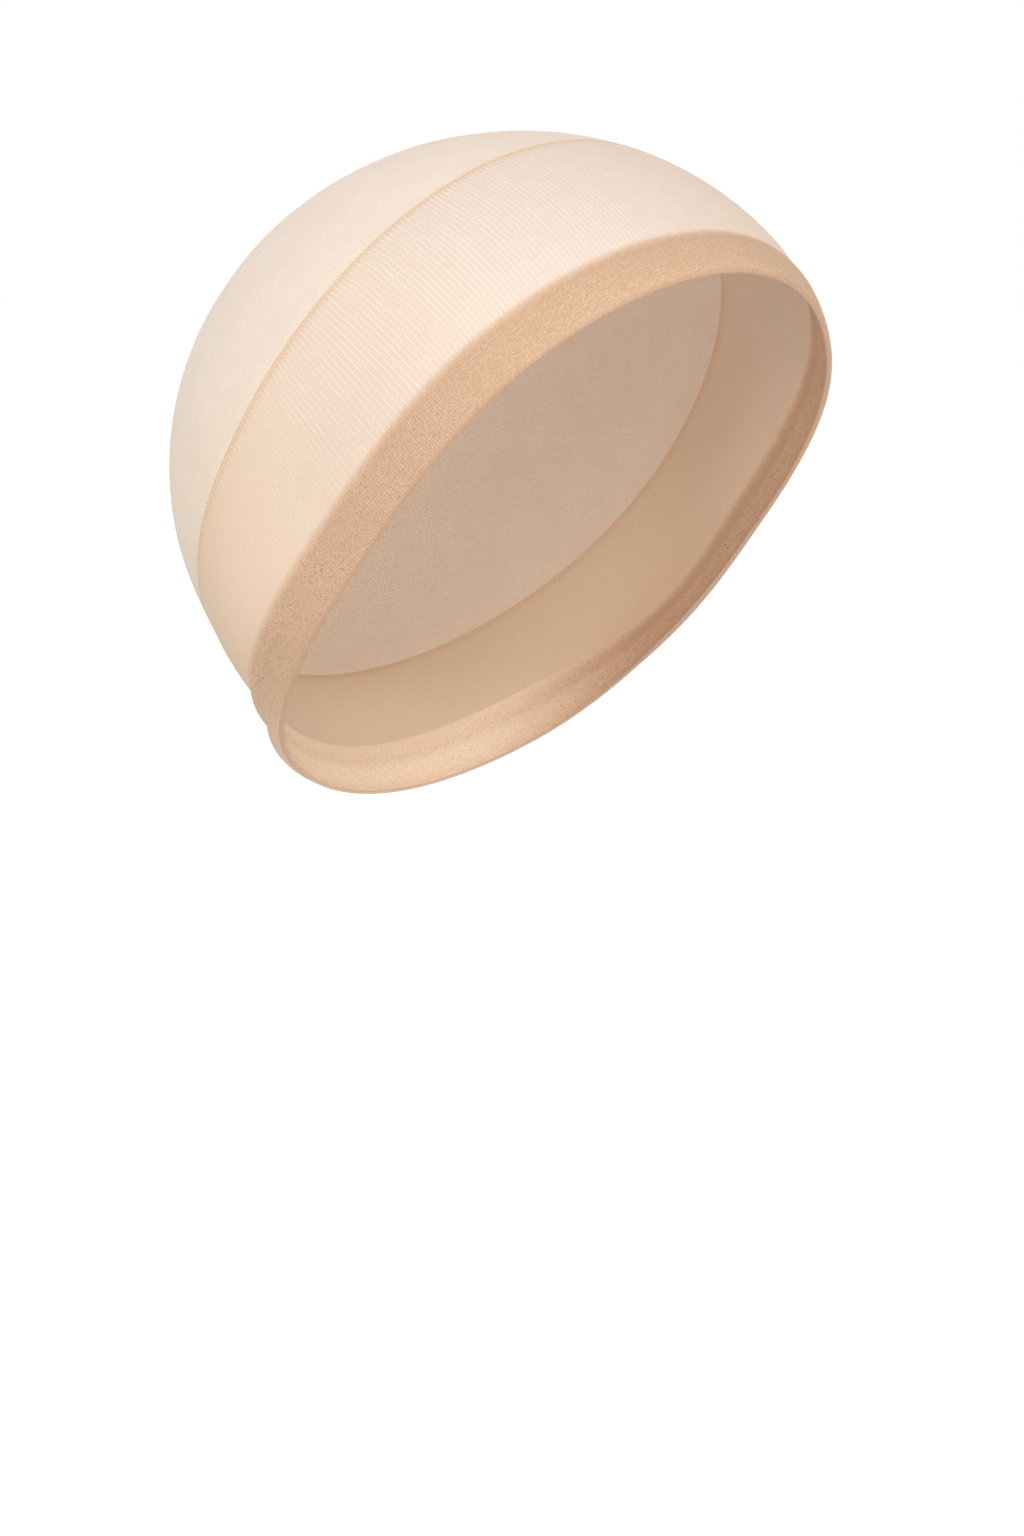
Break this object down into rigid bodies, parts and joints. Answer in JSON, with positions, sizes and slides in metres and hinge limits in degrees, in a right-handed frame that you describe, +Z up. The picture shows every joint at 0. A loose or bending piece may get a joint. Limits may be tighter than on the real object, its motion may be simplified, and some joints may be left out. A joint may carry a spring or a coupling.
{
  "type": "wig cap",
  "caption": "Close-fitting knitted wig cap in its worn form: sheer closed crown, ribbed front strip, raised seam and a dense elastic edge band round the hairline.",
  "frame": {"origin": "highest point of the crown's inner face, where the top of a head touches it", "axes": "+Z up as worn, -Y towards the face, +X to the right as seen from the front"},
  "size_m": [0.1488, 0.1801, 0.1678],
  "materials": {
    "crown_knit": "sheer fine knitted nylon, cream, soft matt sheen",
    "ribbed_knit": "fine ribbed knitted nylon, pale peach, soft matt sheen",
    "seam_thread": "golden peach stitched thread, matt",
    "band_knit": "dense double-layer elastic knit, light tan, matt"
  },
  "bodies": {
    "root": {"crown_panel": "crown_knit", "front_panel": "ribbed_knit", "crown_seam": "seam_thread", "edge_band": "band_knit"}
  },
  "joints": []
}
